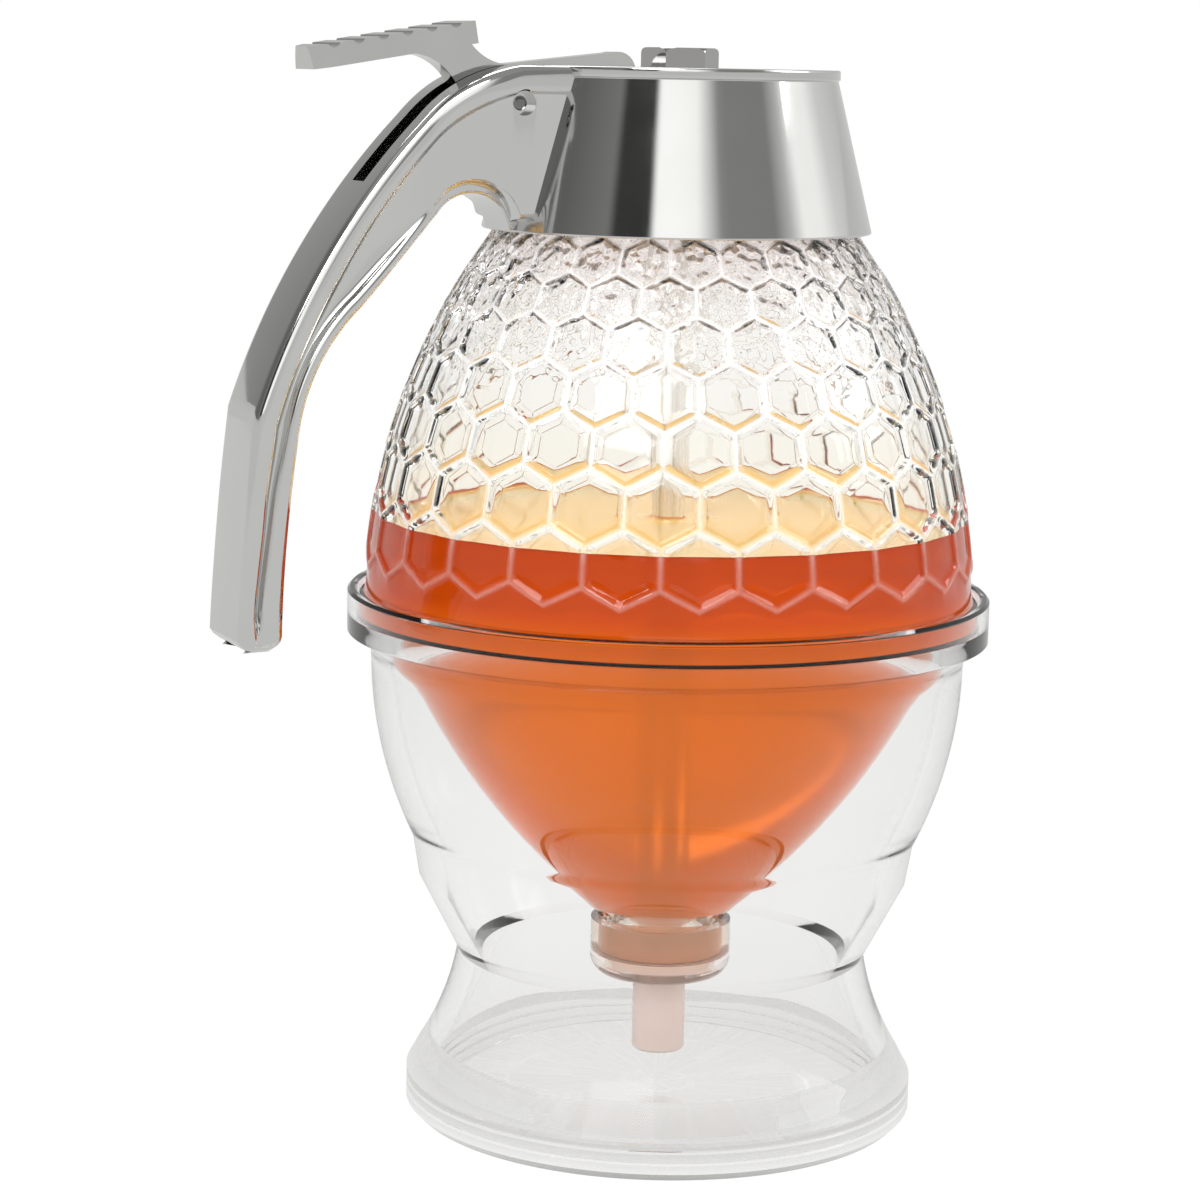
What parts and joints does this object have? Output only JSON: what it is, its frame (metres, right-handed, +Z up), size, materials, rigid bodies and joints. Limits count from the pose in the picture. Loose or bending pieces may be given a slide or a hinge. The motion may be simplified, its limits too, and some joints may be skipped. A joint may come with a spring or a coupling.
{
  "type": "honey dispenser",
  "caption": "Honey dispenser: clear honeycomb jar of honey hanging in a clear footed stand, with a chrome cap, curved handle and thumb trigger that lifts a plunger to open the nozzle.",
  "frame": {"origin": "centre of the stand's flat underside", "axes": "+Z up along the jar's axis, -X towards the handle, +Y completes the right-handed frame"},
  "size_m": [0.1044, 0.085, 0.1442],
  "materials": {
    "stand": "clear polished acrylic",
    "jar": "clear acrylic with a raised honeycomb",
    "honey": "clear amber honey",
    "outlet_collar": "clear acrylic nut",
    "nozzle": "milky soft silicone",
    "plunger_rod": "smooth steel rod",
    "plunger_knob": "polished chrome",
    "cap": "polished chrome plate",
    "pivot_pin": "polished chrome",
    "lever": "polished chrome plate"
  },
  "bodies": {
    "dispenser": {"stand": "stand", "jar": "jar", "honey": "honey", "outlet_collar": "outlet_collar", "nozzle": "nozzle", "cap": "cap", "pivot_pin": "pivot_pin"},
    "trigger": {"lever": "lever"},
    "plunger": {"plunger_rod": "plunger_rod", "plunger_knob": "plunger_knob"}
  },
  "joints": [
    {"name": "trigger_hinge", "type": "hinge", "parent": "dispenser", "child": "trigger", "pos_m": [-0.0252, 0, 0.1342], "axis": [0, -1, 0], "range_deg": [0, 10], "stiffness_Nm_per_rad": 0.5, "springref_deg": -17.19},
    {"name": "plunger_slide", "type": "slide", "parent": "dispenser", "child": "plunger", "axis": [0, 0, 1], "range_m": [0, 0.00439]}
  ],
  "couplings": [
    {"joint": "trigger_hinge", "follows": "plunger_slide", "rad_per_m": 39.682}
  ]
}
